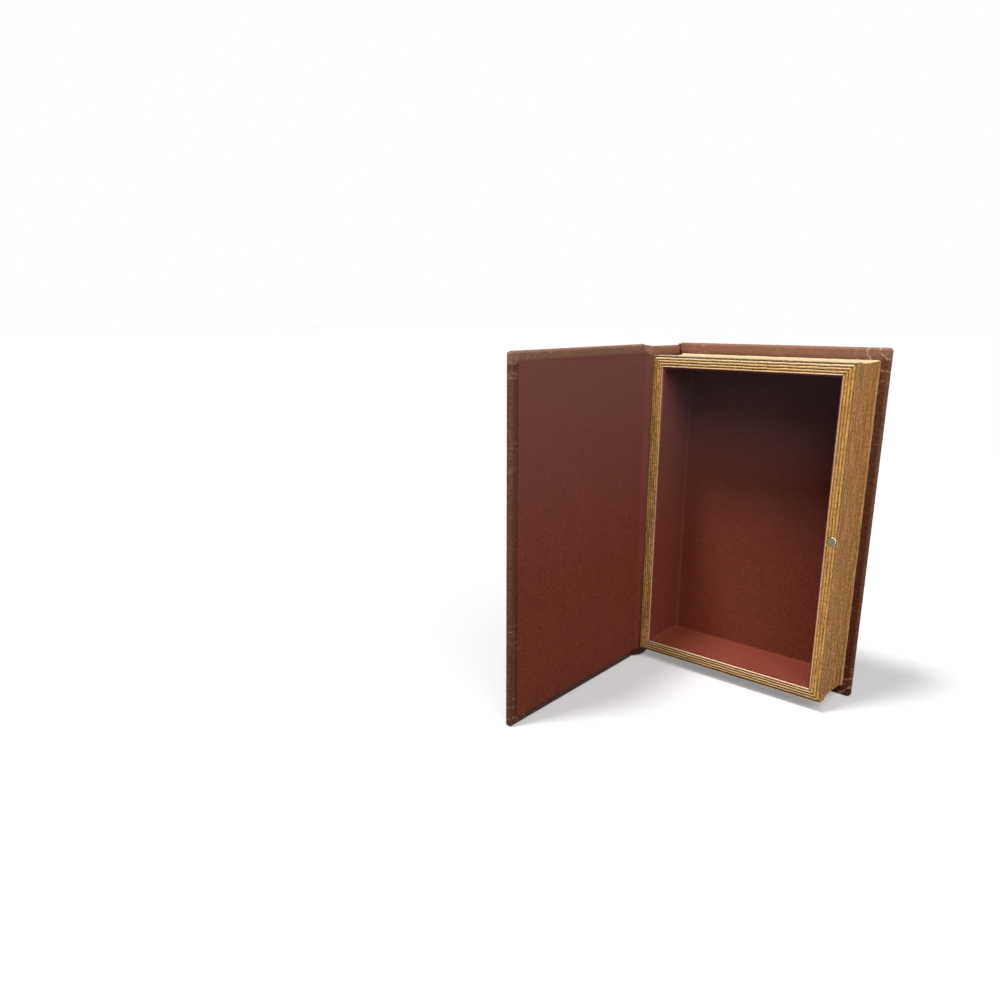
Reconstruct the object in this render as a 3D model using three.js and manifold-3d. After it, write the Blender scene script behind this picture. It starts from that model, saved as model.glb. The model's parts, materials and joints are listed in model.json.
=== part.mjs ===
// A box made like a hardback book, to hide valuables on a shelf. It stands open, as photographed.
// Three boards wrapped in leather cloth (front cover, spine, back cover) form the case. A tray of four
// gilt mouldings, mitred at the corners, is glued to the back cover and the spine, and lined with
// flocked paper. The front cover swings on its leather joint and is held shut by a disc magnet.
//
// Millimetres. +X runs along the box's open face from the spine to the fore-edge, +Y from the open
// face to the back cover, +Z up. The origin is the middle of the back cover's lower edge.

import * as THREE from 'three';
import { mergeVertices } from 'three/addons/utils/BufferGeometryUtils.js';
import Module from 'manifold-3d';

// The page box
const boxWidth = 153;
const boxDepth = 42;
const railFace = 8.5; // width of a moulding, seen from the front

// The covers and the spine
const coverHeight = 254;
const coverThickness = 5;
const headSquare = 8.2; // a cover stands this far past the box at the head and the tail
const foreSquare = 5.8; // and this far at the fore-edge
const hingeOverlap = 2.8; // and this far past the spine side of the box
const spineMargin = 8; // width of the leather joint on each side of the spine board
const spineDrop = 1.6; // the spine is this much shorter than the covers at each end
const openDegrees = 86.4; // how far the front cover stands open

// Leather, board and paper layers
const leatherThickness = 0.8;
const turnIn = 15; // the leather folds in over the board by this much
const narrowTurnInShare = 0.25; // and at the sides of a narrow board by this share of its width
const layerGap = 0.25; // glue line between two layers
const edgeRadius = 1.3;
const cornerRadius = 2.5;
const linerThickness = 0.5;
const linerMargin = 6; // leather left bare round the front cover's liner
const linerHingeMargin = 0.5;
const liningThickness = 1.2; // flocked paper on card, inside the tray
const liningSetback = 1; // the side linings start this far behind the open face

// The hinge: the line that the joint leather folds on
const hingeOut = 5.3; // from the spine side of the box
const hingeFore = 2; // in front of the open face
const closeGap = 0.3; // between the liner and the mouldings when shut
const rollGap = 0.3; // between the folded leather and the cover's hinge edge

// The moulding's section
const mitreClearance = 0.2;
const noseRadius = 1.3; // outer front edge
const lipRadius = 0.6; // inner front edge
const noseDepth = 8; // the front lip runs back this far before the page edges begin
const pageRecess = 0.8; // page edges lie this much behind the front lip
const pageHollow = 0.5; // and are hollowed this much more in the middle
const rampLength = 2.5;
const rearLip = 1.5;
const rearRecess = 0.3;
const grooveWidth = 0.9;
const grooveDepth = 0.7;
const grooveLand = 0.15; // flat left between a rounded edge and the nearest groove
const grooveShares = [0, 0.375, 0.7, 0.965]; // of the room for the grooves' centres, from outside
const pageSteps = 6;

// The magnet and its keeper
const magnetRadius = 3.175;
const magnetThickness = 3;
const magnetRecess = 0.1;
const keeperRadius = 5;
const keeperThickness = 1.2;
const fitClearance = 0.15;

const overrun = 1; // how far a cutting tool passes the face it cuts through
const arcSteps = 4;
const lipSteps = 2;
const discSides = 32;
const weldStep = 1e-4;

// Sizes that follow
const coverWidth = hingeOverlap + boxWidth + foreSquare;
const boxBottom = headSquare;
const boxTop = coverHeight - headSquare;
const coverGap = closeGap + linerThickness + layerGap; // inner face of the shut cover to the mouldings
const boardIn = leatherThickness + layerGap; // inner face of a wrapped board to the board
const spineWidth = boxDepth - 2 * spineMargin;
const spineHeight = coverHeight - 2 * spineDrop;
const jointThickness = 2 * leatherThickness;
const rollRadius = hingeOut - hingeOverlap - rollGap;
const magnetX = boxWidth - railFace / 2;
const magnetZ = coverHeight / 2;

// Finishes
const leatherLook = new THREE.MeshStandardMaterial({ color: 0x54352b, roughness: 0.5, metalness: 0 });
const flockLook = new THREE.MeshStandardMaterial({ color: 0x6e2f28, roughness: 0.95, metalness: 0 });
const giltLook = new THREE.MeshStandardMaterial({ color: 0xb88a45, roughness: 0.45, metalness: 0.6 });
const boardLook = new THREE.MeshStandardMaterial({ color: 0x8d8478, roughness: 0.9, metalness: 0 });
const cardLook = new THREE.MeshStandardMaterial({ color: 0xd8cfbc, roughness: 0.9, metalness: 0 });
const nickelLook = new THREE.MeshStandardMaterial({ color: 0xa9a8a4, roughness: 0.3, metalness: 1 });

const wasm = await Module();
wasm.setup();

// A closed geometry from its points and triangles, with the faces turned outwards.
function closedGeometry(points, faces) {
  let volume = 0;
  const normal = new THREE.Vector3();
  for (const [a, b, c] of faces) {
    volume += points[a].dot(normal.crossVectors(points[b], points[c]));
  }
  const geometry = new THREE.BufferGeometry();
  geometry.setFromPoints(points);
  geometry.setIndex(faces.flatMap(([a, b, c]) => (volume > 0 ? [a, b, c] : [a, c, b])));
  return geometry;
}

// A solid skinned over copies of one outline. Each station is a function that puts an outline point
// in its place in space. The first and the last copy are filled in.
function skinOver(outline, stations) {
  const count = outline.length;
  const last = (stations.length - 1) * count;
  const points = stations.flatMap((place) => outline.map((point) => place(point)));
  const faces = [];
  for (const [a, b, c] of THREE.ShapeUtils.triangulateShape(outline, [])) {
    faces.push([c, b, a], [last + a, last + b, last + c]);
  }
  for (let ring = 0; ring < last; ring += count) {
    for (let i = 0; i < count; i += 1) {
      const j = (i + 1) % count;
      faces.push([ring + i, ring + j, ring + count + j], [ring + i, ring + count + j, ring + count + i]);
    }
  }
  return closedGeometry(points, faces);
}

// Booleans
function solidOf(geometry) {
  const bare = geometry.clone();
  bare.deleteAttribute('normal');
  bare.deleteAttribute('uv');
  const merged = mergeVertices(bare, weldStep);
  const mesh = new wasm.Mesh({
    numProp: 3,
    vertProperties: merged.attributes.position.array,
    triVerts: new Uint32Array(merged.index.array),
  });
  return new wasm.Manifold(mesh);
}

function cutAway(blank, ...tools) {
  const solid = tools.reduce((rest, tool) => rest.subtract(solidOf(tool)), solidOf(blank));
  const mesh = solid.getMesh();
  const geometry = new THREE.BufferGeometry();
  geometry.setAttribute('position', new THREE.BufferAttribute(mesh.vertProperties, mesh.numProp));
  geometry.setIndex(new THREE.BufferAttribute(mesh.triVerts, 1));
  return geometry;
}

function piece(name, geometry, look) {
  geometry.computeVertexNormals();
  const mesh = new THREE.Mesh(geometry, look);
  mesh.name = name;
  return mesh;
}

// A box between two corners, in the coordinates that place() turns into space.
function blockBetween(low, high, place) {
  const outline = [
    new THREE.Vector2(low[0], low[2]),
    new THREE.Vector2(high[0], low[2]),
    new THREE.Vector2(high[0], high[2]),
    new THREE.Vector2(low[0], high[2]),
  ];
  const level = (depth) => (point) => place(point.x, depth, point.y);
  return skinOver(outline, [level(low[1]), level(high[1])]);
}

// An arc's points about a centre, from one angle to another, both ends included.
function arcPoints(centreX, centreY, radius, from, to, steps = arcSteps) {
  return Array.from({ length: steps + 1 }, (_, i) => {
    const angle = THREE.MathUtils.lerp(from, to, i / steps);
    return new THREE.Vector2(centreX + radius * Math.cos(angle), centreY + radius * Math.sin(angle));
  });
}

// A rectangle with round corners, drawn in by inset on every side.
function roundedOutline(width, height, radius, inset = 0) {
  const right = Math.PI / 2;
  const round = radius - inset;
  return [
    arcPoints(radius, radius, round, 2 * right, 3 * right),
    arcPoints(width - radius, radius, round, 3 * right, 4 * right),
    arcPoints(width - radius, height - radius, round, 0, right),
    arcPoints(radius, height - radius, round, right, 2 * right),
  ].flat();
}

// A slab with all its edges rounded: width by height, its inner face at depth 0.
function softSlab(width, height, thickness, place) {
  const outline = roundedOutline(width, height, cornerRadius);
  const right = Math.PI / 2;
  const nearEdge = arcPoints(edgeRadius, edgeRadius, edgeRadius, 3 * right, 2 * right, arcSteps - 1);
  const farEdge = arcPoints(edgeRadius, thickness - edgeRadius, edgeRadius, 2 * right, right, arcSteps - 1);
  const stations = [...nearEdge, ...farEdge].map(({ x: inset, y: depth }) => {
    const ring = roundedOutline(width, height, cornerRadius, inset);
    return (point) => {
      const drawn = ring[outline.indexOf(point)];
      return place(drawn.x, depth, drawn.y);
    };
  });
  return skinOver(outline, stations);
}

// A board, the leather wrapped round it and the card that fills the space between the turn-ins.
// place(a, t, z): a along its width, t out from its inner face, z up.
function wrappedBoard(names, width, height, place, pocket = []) {
  const far = coverThickness - boardIn;
  const skin = leatherThickness;
  const blank = softSlab(width, height, coverThickness, place);
  const cavity = blockBetween([skin, skin, skin], [width - skin, coverThickness - skin, height - skin], place);
  const windowWidth = width - 2 * Math.min(turnIn, narrowTurnInShare * width);
  const windowLow = (width - windowWidth) / 2;
  const window = blockBetween(
    [windowLow, -overrun, turnIn],
    [windowLow + windowWidth, boardIn, height - turnIn],
    place,
  );
  const board = blockBetween([boardIn, boardIn, boardIn], [width - boardIn, far, height - boardIn], place);
  const card = blockBetween(
    [windowLow + layerGap, 0, turnIn + layerGap],
    [windowLow + windowWidth - layerGap, skin, height - turnIn - layerGap],
    place,
  );
  return [
    piece(names.board, pocket.length ? cutAway(board, ...pocket) : board, boardLook),
    piece(names.leather, cutAway(blank, cavity, window), leatherLook),
    piece(names.card, card, cardLook),
  ];
}

// Where the three wrapped boards go. The front cover is placed shut, about its hinge line.
const onBackCover = (a, t, z) => new THREE.Vector3(a - hingeOverlap, boxDepth + t, z);
const onSpine = (a, t, z) => new THREE.Vector3(-t, spineMargin + a, spineDrop + z);
const onFrontCover = (a, t, z) => new THREE.Vector3(hingeOut - hingeOverlap + a, hingeFore - coverGap - t, z);
const asIs = (x, y, z) => new THREE.Vector3(x, y, z);

// A disc across the thickness of whatever place() stands for.
function disc(radius, a, z, from, to, place) {
  const outline = arcPoints(a, z, radius, 0, 2 * Math.PI, discSides).slice(1);
  const level = (depth) => (point) => place(point.x, depth, point.y);
  return skinOver(outline, [level(from), level(to)]);
}

// The moulding's section: x inwards from the outer side, y back from the open face.
function mouldingOutline() {
  const right = Math.PI / 2;
  const nose = arcPoints(noseRadius, noseRadius, noseRadius, 2 * right, 3 * right);
  const firstCentre = noseRadius + grooveLand + grooveWidth / 2;
  const lastCentre = railFace - lipRadius - grooveLand - grooveWidth / 2;
  const grooves = grooveShares.flatMap((share) => {
    const centre = THREE.MathUtils.lerp(firstCentre, lastCentre, share);
    return [
      new THREE.Vector2(centre - grooveWidth / 2, 0),
      new THREE.Vector2(centre, grooveDepth),
      new THREE.Vector2(centre + grooveWidth / 2, 0),
    ];
  });
  const lip = arcPoints(railFace - lipRadius, lipRadius, lipRadius, 3 * right, 4 * right, lipSteps);
  const back = [new THREE.Vector2(railFace, boxDepth), new THREE.Vector2(rearRecess, boxDepth)];
  const pageStart = noseDepth + rampLength;
  const pageEnd = boxDepth - rearLip - rampLength / 2;
  const pages = Array.from({ length: pageSteps + 1 }, (_, i) => {
    const share = 1 - i / pageSteps;
    const hollow = pageRecess + pageHollow * Math.sin(Math.PI * share);
    return new THREE.Vector2(hollow, THREE.MathUtils.lerp(pageStart, pageEnd, share));
  });
  const rear = new THREE.Vector2(rearRecess, boxDepth - rearLip);
  return [...nose, ...grooves, ...lip, ...back, rear, ...pages, new THREE.Vector2(0, noseDepth)];
}

// A moulding between two mitres. run(w, s) gives its x and z: w inwards, s along from either corner.
function moulding(run, length) {
  const start = (point) => run(point.x, point.y, point.x + mitreClearance);
  const end = (point) => run(point.x, point.y, length - point.x - mitreClearance);
  return skinOver(mouldingOutline(), [start, end]);
}

function pageBox() {
  const boxHeight = boxTop - boxBottom;
  const pocket = disc(magnetRadius + fitClearance, magnetX, magnetZ, -overrun, magnetRecess + magnetThickness, asIs);
  const magnet = disc(magnetRadius, magnetX, magnetZ, magnetRecess, magnetRecess + magnetThickness, asIs);
  const head = moulding((w, y, s) => new THREE.Vector3(s, y, boxTop - w), boxWidth);
  const tail = moulding((w, y, s) => new THREE.Vector3(s, y, boxBottom + w), boxWidth);
  const spine = moulding((w, y, s) => new THREE.Vector3(w, y, boxBottom + s), boxHeight);
  const foreEdge = moulding((w, y, s) => new THREE.Vector3(boxWidth - w, y, boxBottom + s), boxHeight);
  return [
    piece('head_moulding', head, giltLook),
    piece('tail_moulding', tail, giltLook),
    piece('spine_moulding', spine, giltLook),
    piece('fore_edge_moulding', cutAway(foreEdge, pocket), giltLook),
    piece('catch_magnet', magnet, nickelLook),
  ];
}

// The tray's lining: head and tail panels, two side panels between them, and a back panel inside all four.
function trayLining() {
  const left = railFace;
  const right = boxWidth - railFace;
  const low = boxBottom + railFace;
  const high = boxTop - railFace;
  const thick = liningThickness;
  const back = boxDepth - thick;
  const inset = thick + layerGap;
  const panels = {
    back_lining: [[left + inset, back, low + inset], [right - inset, boxDepth, high - inset]],
    head_lining: [[left, liningSetback, high - thick], [right, boxDepth, high]],
    tail_lining: [[left, liningSetback, low], [right, boxDepth, low + thick]],
    spine_side_lining: [[left, liningSetback, low + thick], [left + thick, boxDepth, high - thick]],
    fore_edge_lining: [[right - thick, liningSetback, low + thick], [right, boxDepth, high - thick]],
  };
  return Object.entries(panels).map(([name, [from, to]]) => piece(name, blockBetween(from, to, asIs), flockLook));
}

// A strip of the two leathers glued together, seen in plan and as tall as the spine.
function jointStrip(name, outline) {
  const level = (z) => (point) => new THREE.Vector3(point.x, point.y, z);
  return piece(name, skinOver(outline, [level(spineDrop), level(coverHeight - spineDrop)]), leatherLook);
}

// The front joint lies along the box's side, then rolls round the hinge line.
function frontJoint() {
  const turn = Math.PI / 3;
  const roll = arcPoints(-hingeOut, -hingeFore, rollRadius, 2 * turn, 2 * Math.PI + turn, 3 * arcSteps);
  return jointStrip('front_joint_leather', [
    new THREE.Vector2(0, spineMargin),
    new THREE.Vector2(-jointThickness, spineMargin),
    new THREE.Vector2(-jointThickness, noseRadius + jointThickness),
    ...roll,
    new THREE.Vector2(-jointThickness / 2, 0),
    new THREE.Vector2(0, noseRadius),
  ]);
}

// The back joint lies along the box's side, then turns out over the back cover's hinge edge.
function backJoint() {
  const outerTurn = boxDepth + coverThickness - edgeRadius;
  return jointStrip('back_joint_leather', [
    new THREE.Vector2(0, boxDepth - spineMargin),
    new THREE.Vector2(0, boxDepth),
    new THREE.Vector2(-hingeOverlap, boxDepth),
    new THREE.Vector2(-hingeOverlap, outerTurn),
    new THREE.Vector2(-hingeOverlap - jointThickness, outerTurn - jointThickness),
    new THREE.Vector2(-hingeOverlap - jointThickness, boxDepth + edgeRadius - jointThickness),
    new THREE.Vector2(-jointThickness, boxDepth - hingeOverlap - jointThickness),
    new THREE.Vector2(-jointThickness, boxDepth - spineMargin),
  ]);
}

function frontCover() {
  const keeperA = hingeOverlap + magnetX;
  const keeperFace = boardIn + layerGap;
  const pocketEnd = keeperFace + keeperThickness + layerGap;
  const pocket = disc(keeperRadius + layerGap, keeperA, magnetZ, 0, pocketEnd, onFrontCover);
  const keeper = disc(keeperRadius, keeperA, magnetZ, keeperFace, keeperFace + keeperThickness, onFrontCover);
  const liner = blockBetween(
    [linerHingeMargin, -layerGap - linerThickness, linerMargin],
    [coverWidth - linerMargin, -layerGap, coverHeight - linerMargin],
    onFrontCover,
  );
  const names = { board: 'front_board', leather: 'front_cover_leather', card: 'front_infill_card' };
  const cover = new THREE.Group();
  cover.add(...wrappedBoard(names, coverWidth, coverHeight, onFrontCover, [pocket]));
  cover.add(piece('front_liner', liner, flockLook));
  cover.add(piece('keeper_disc', keeper, nickelLook));
  cover.position.set(-hingeOut, -hingeFore, 0);
  cover.rotation.z = -THREE.MathUtils.degToRad(openDegrees);
  return cover;
}

function bookSafe() {
  const backNames = { board: 'back_board', leather: 'back_cover_leather', card: 'back_infill_card' };
  const spineNames = { board: 'spine_board', leather: 'spine_leather', card: 'spine_infill_card' };
  const safe = new THREE.Group();
  safe.add(...wrappedBoard(backNames, coverWidth, coverHeight, onBackCover));
  safe.add(...wrappedBoard(spineNames, spineWidth, spineHeight, onSpine));
  safe.add(frontJoint(), backJoint());
  safe.add(...pageBox());
  safe.add(...trayLining());
  safe.add(frontCover());
  safe.position.set(hingeOverlap - coverWidth / 2, -boxDepth - coverThickness / 2, 0);
  return safe;
}

export default bookSafe();
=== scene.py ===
import json
import math
from contextlib import contextmanager

import bmesh
import bpy
from mathutils import Matrix, Vector
from mathutils.geometry import interpolate_bezier as curve
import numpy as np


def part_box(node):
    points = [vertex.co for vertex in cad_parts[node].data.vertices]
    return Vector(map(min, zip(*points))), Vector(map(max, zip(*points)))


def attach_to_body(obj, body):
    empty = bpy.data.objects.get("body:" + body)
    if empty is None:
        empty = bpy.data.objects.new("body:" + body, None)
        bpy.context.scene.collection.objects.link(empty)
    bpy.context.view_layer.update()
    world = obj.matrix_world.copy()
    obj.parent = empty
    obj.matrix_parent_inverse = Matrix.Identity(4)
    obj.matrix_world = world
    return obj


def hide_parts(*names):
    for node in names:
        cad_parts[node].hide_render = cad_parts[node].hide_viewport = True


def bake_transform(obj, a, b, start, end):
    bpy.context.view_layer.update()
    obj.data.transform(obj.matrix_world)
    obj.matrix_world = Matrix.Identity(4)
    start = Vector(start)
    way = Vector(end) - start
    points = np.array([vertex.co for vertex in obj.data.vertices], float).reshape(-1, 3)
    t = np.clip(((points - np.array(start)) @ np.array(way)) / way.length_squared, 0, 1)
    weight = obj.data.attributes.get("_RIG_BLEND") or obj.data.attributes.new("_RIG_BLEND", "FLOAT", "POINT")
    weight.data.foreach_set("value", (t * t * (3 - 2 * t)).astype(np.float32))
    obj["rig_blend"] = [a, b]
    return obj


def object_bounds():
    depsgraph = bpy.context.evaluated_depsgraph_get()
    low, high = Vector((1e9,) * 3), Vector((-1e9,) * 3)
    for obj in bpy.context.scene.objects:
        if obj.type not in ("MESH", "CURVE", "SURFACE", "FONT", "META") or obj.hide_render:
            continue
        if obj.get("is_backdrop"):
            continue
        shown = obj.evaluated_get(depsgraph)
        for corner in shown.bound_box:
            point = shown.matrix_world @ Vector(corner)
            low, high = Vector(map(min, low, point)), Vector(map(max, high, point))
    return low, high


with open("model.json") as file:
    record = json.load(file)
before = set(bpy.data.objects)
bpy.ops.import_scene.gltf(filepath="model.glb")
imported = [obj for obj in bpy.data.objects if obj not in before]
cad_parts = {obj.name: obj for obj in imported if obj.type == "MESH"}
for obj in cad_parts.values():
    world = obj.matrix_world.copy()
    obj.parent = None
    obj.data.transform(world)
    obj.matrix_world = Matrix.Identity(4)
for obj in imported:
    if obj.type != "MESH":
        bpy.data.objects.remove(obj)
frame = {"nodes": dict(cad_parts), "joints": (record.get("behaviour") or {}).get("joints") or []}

bl_info = {
    "name": "Book safe dresser",
    "version": (1, 0, 0),
    "blender": (4, 5, 0),
    "location": "3D View > Sidebar > Book Safe",
    "description": "Models and finishes the pieces of a book-shaped safe on its fixed frame",
    "category": "Object",
}

MM = 0.001
TINY = 0.02 * MM
X = Vector((1, 0, 0))
Y = Vector((0, 1, 0))
Z = Vector((0, 0, 1))
QUARTER = math.pi / 2
WHITE = (1, 1, 1)
# From this share of its length on, a direction counts as lying along an axis, and up to the other one
# as square to it
ALONG = 0.9
SQUARE = 0.1
# Edges that turn more than this stay sharp in the shading
SHARP = math.radians(32)


# Places from the frame

def moved_box(node, matrix):
    """Lowest and highest corners of a solid after a matrix moves it."""
    corners = [matrix @ vertex.co for vertex in frame["nodes"][node].data.vertices]
    low = Vector(min(corner[axis] for corner in corners) for axis in range(3))
    high = Vector(max(corner[axis] for corner in corners) for axis in range(3))
    return low, high


JOINT = frame["joints"][0]
HINGE = Vector(JOINT["pos_m"])
OPEN_TURN = math.radians(JOINT["range_deg"][0])
SWING = Matrix.Translation(HINGE) @ Matrix.Rotation(OPEN_TURN, 4, "Z") @ Matrix.Translation(-HINGE)

BACK_LOW, BACK_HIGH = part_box("back_cover_leather")
SPINE_LOW, SPINE_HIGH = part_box("spine_leather")
HEAD_LOW, HEAD_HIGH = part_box("head_moulding")
SHUT_LOW, SHUT_HIGH = moved_box("front_cover_leather", SWING.inverted())
FACE_WIDTH = HEAD_HIGH.z - HEAD_LOW.z
BOX_LOW = Vector((HEAD_LOW.x, HEAD_LOW.y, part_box("tail_moulding")[0].z))
BOX_HIGH = Vector(HEAD_HIGH)
BOX_DEPTH = BOX_HIGH.y - BOX_LOW.y
COVER_SIZE = BACK_HIGH - BACK_LOW

# Where a board drawn flat goes: x across it, y from its inner face outwards, z up
BACK_PLACE = Matrix.Translation(BACK_LOW)
SPINE_CORNER = (SPINE_HIGH.x, SPINE_LOW.y, SPINE_LOW.z)
SPINE_PLACE = Matrix.Translation(SPINE_CORNER) @ Matrix.Rotation(QUARTER, 4, "Z")
SHUT_CORNER = (SHUT_LOW.x, SHUT_HIGH.y, SHUT_HIGH.z)
FRONT_PLACE = SWING @ (Matrix.Translation(SHUT_CORNER) @ Matrix.Rotation(math.pi, 4, "X"))
# The front cover's inner edge at the hinge, in plan
FRONT_EDGE = SWING @ Vector((SHUT_LOW.x, SHUT_HIGH.y, 0))


# Settings

def linear(hex_colour):
    """An sRGB hex colour as linear light."""
    channels = [int(hex_colour[i:i + 2], 16) / 255 for i in (1, 3, 5)]
    return [c / 12.92 if c <= 0.04045 else ((c + 0.055) / 1.055) ** 2.4 for c in channels]


def number(name, description, default, **kind):
    return bpy.props.FloatProperty(name=name, description=description, default=default, **kind)


def length(name, description, millimetres):
    return number(name, description, millimetres * MM, min=0, unit="LENGTH", precision=5)


def colour(name, description, hex_colour):
    return bpy.props.FloatVectorProperty(
        name=name, description=description, default=linear(hex_colour), min=0, max=1, subtype="COLOR")


class BookCaseSizes(bpy.types.PropertyGroup):
    """Sizes of the wrapped boards, their joints and the sheets on them."""
    leather: length("Leather", "Thickness of the leather cloth", 0.8)
    edge_radius: length("Edge radius", "Rounding of a wrapped board's long edges", 2.1)
    corner_radius: length("Corner radius", "Rounding of a cover's two outer corners", 2.6)
    turn_in: length("Turn-in", "How far the leather folds in over a board", 15)
    spine_turn_in: length("Spine turn-in", "The same at the sides of the narrow spine board", 6.5)
    seam_width: length("Seam width", "Width of the mitred seam where two turn-ins meet", 1.3)
    seam_depth: length("Seam depth", "Depth of that seam", 0.5)
    seam_lap: length("Seam lap", "How far one turn-in stands above the other", 0.3)
    seam_run: length("Seam run", "How far from a corner its seam can reach", 14)
    front_pressed: number("Front cover's corners", "How far the wrinkles at its corners are pressed flat",
                          0.65, min=0, max=1, subtype="FACTOR")
    strip: length("Joint leather", "Thickness of the two leathers that the hinge folds on", 1.6)
    shoulder: length("Joint shoulder", "Rounding where a joint meets a board", 1.5)
    attach: length("Inner attachment", "Where a joint's inner side meets the cover's edge", 1.2)
    strip_drop: length("Joint drop", "How far the joint's ends lie below the cover's ends", 0.6)
    ridge: length("Liner ridge", "Height of the turn-in's edge that shows through the liner", 0.2)
    ridge_width: length("Liner ridge width", "Width of that ridge", 1.4)
    paper: length("Hinge paper", "Thickness of the liner where it runs on over the front joint", 0.35)
    paper_slope: length("Hinge paper slope", "How far from the box the paper's ends start to lengthen", 7)


class BookMouldingSizes(bpy.types.PropertyGroup):
    """Sizes of the gilt moulding's section."""
    nose: length("Nose radius", "Rounding of the outer front edge", 0.62)
    lip: length("Lip radius", "Rounding of the inner front edge", 0.5)
    crown: length("Crown", "How far the face falls back towards its outer edge", 0.8)
    first_groove: length("First groove", "Place of the outermost groove, from the outer edge", 1.18)
    groove_pitch: length("Groove pitch", "Distance between two grooves", 2.02)
    groove_width: length("Groove width", "Width of a groove in the face", 1.0)
    groove_depth: length("Groove depth", "Depth of a groove in the face", 0.8)
    ridge_round: length("Ridge rounding", "Rounding of the ridges beside a groove", 0.38)
    front_band: length("Front band", "Depth of the plain band before the page edges", 8)
    ramp: length("Ramp", "Depth of the slope down to the page edges", 2.5)
    recess: length("Page recess", "How far the page edges lie behind the front band", 0.8)
    hollow: length("Page hollow", "How much deeper the page edges are in the middle", 0.5)
    rear_band: length("Rear band", "Depth of the lip at the back", 1.5)
    rear_recess: length("Rear recess", "How far the lip at the back lies behind the front band", 0.1)
    wander: length("Wander", "How far a groove strays from its line", 0.2)
    wander_pitch: length("Wander pitch", "Distance between the points that stray", 3)
    wander_ends: length("Wander ends", "Length over which the wander fades out at a mitre", 12)
    long_wave: length("Long wave", "Length of the slow wander, per radian", 7.3)
    short_wave: length("Short wave", "Length of the quick wander, per radian", 2.9)
    mitre_gap: length("Mitre gap", "Clearance of a mitre, along the moulding", 0.14)
    mitre_stain: length("Mitre stain", "Width of the stained strip beside a mitre", 0.35)


class BookTraySizes(bpy.types.PropertyGroup):
    """Sizes of the tray's lining, the magnet and its pocket."""
    cove: length("Cove", "Radius of the soft corners between two linings", 2.2)
    soft_edge: length("Soft edge", "Rounding of a lining's front edge", 0.4)
    magnet_rim: length("Magnet rim", "Rounding of the magnet's edge", 0.5)
    magnet_dish: length("Magnet dish", "Depth of the shallow dish in the magnet's face", 0.12)
    pocket_gap: length("Pocket gap", "Clearance round the magnet in its pocket", 0.28)


class BookColours(bpy.types.PropertyGroup):
    """Colours of the finishes."""
    leather: colour("Leather", "Leather cloth on the flat", "#6c4430")
    # Also deepens the leather toward the tail as painted shade
    leather_deep: colour("Leather, deep", "Leather cloth in its grain and creases", "#4d2d20")
    # Lightens both the leather's wear and its painted highlights
    leather_worn_and_lit: colour("Leather, worn", "Leather cloth where handling has rubbed it", "#b98c76")
    # Painted shade: the tint that darkens the leather toward the tail
    leather_tail_shade: colour(
        "Leather, soil", "What soiling at the tail leaves of the leather's own colour", "#e7b289")
    flock: colour("Flock", "Flocked lining", "#86402b")
    flock_deep: colour("Flock, brushed", "Flocked lining where the pile is brushed the other way", "#5d261e")
    # Painted sheen toward the head; also the pile's sheen tint
    flock_sheen: colour(
        "Flock, dusty", "Pile with a little dust on it, and its tips at a glancing angle", "#7b4c48")
    # Painted shade: the dark neutral of the pile deep in the tray
    flock_shade_grey: colour("Flock, greyed", "Pile deep in the tray, under the head", "#66646a")
    gilt: colour("Gilt", "Gilding on the ridges", "#ebb361")
    gilt_page: colour("Gilt page edges", "Gilding on the page edges", "#d79a59")
    # Worn bright on the inner ridge; painted highlight on the rear lip and the outer edge
    gilt_rubbed_and_lit: colour("Gilt, rubbed", "Gilding on the inner ridge and the rear lip", "#ddb18a")
    # Painted highlight on the head and tail mouldings, the head's top most
    gilt_highlight: colour("Gilt, dusty", "Head and tail mouldings, pale with dust", "#ebd3a8")
    # Also laid on as painted shade in the head's and tail's grooves and on the spine's moulding
    glaze: colour("Glaze", "Brown glaze left in the grooves and streaks", "#5a3612")
    # Painted reflection: darker than clean nickel, for the dim surroundings the plate mirrors
    nickel: colour("Nickel", "Nickel plating, dulled by touch", "#857863")
    # Painted highlight on the magnet's rim
    nickel_rim_highlight: colour("Nickel rim", "Nickel plating worn bright at the magnet's rim", "#f2e9d4")
    greyboard: colour("Greyboard", "Grey board inside the covers", "#8d8478")
    card: colour("Card", "Plain card between the turn-ins", "#d8cfbc")
    floor: colour("Floor", "The studio floor as it is seen", "#bcbcbc")
    floor_bounce: colour("Floor bounce", "The studio floor as it lights the book", "#6c6c6c")


class BookStageSettings(bpy.types.PropertyGroup):
    """The camera's place and the lights."""
    camera_x: length("Camera x", "Camera's place along the open face", 280.4)
    camera_y: number("Camera y", "Camera's place in front of the book", -597.9 * MM, unit="LENGTH")
    camera_z: length("Camera z", "Camera's height", 275.7)
    camera_heading: number(
        "Heading", "Turn of the view from the +Y axis", math.radians(43.06), unit="ROTATION")
    camera_pitch: number("Pitch", "Tilt of the view below the horizon", math.radians(15.68), unit="ROTATION")
    camera_lens: number("Lens", "Focal length on a 36 mm sensor", 30.12, unit="CAMERA")
    camera_shift: number("Shift", "Shift of the frame, as a share of its width", 0.0489)
    left_strength: number(
        "Left light", "Strength of the light high on the left, which throws the shadow", 3.45)
    right_strength: number("Right light", "Strength of the wide light above on the right", 1.75)
    fill_power: number("Fill light", "Power of the softbox low on the right", 5.5, unit="POWER")
    ambient: number("Ambient", "Strength of the room's own light", 0.06)
    floor_lift: number("Floor lift", "How much the floor is lifted towards white", 0.25)


# Modelling

def only(piece):
    """Select one piece alone and make it active."""
    bpy.ops.object.select_all(action="DESELECT")
    piece.select_set(True)
    bpy.context.view_layer.objects.active = piece


def named(piece, name):
    piece.name = piece.data.name = name
    return piece


def apply_transform():
    bpy.ops.object.transform_apply(location=True, rotation=True, scale=True)


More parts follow.
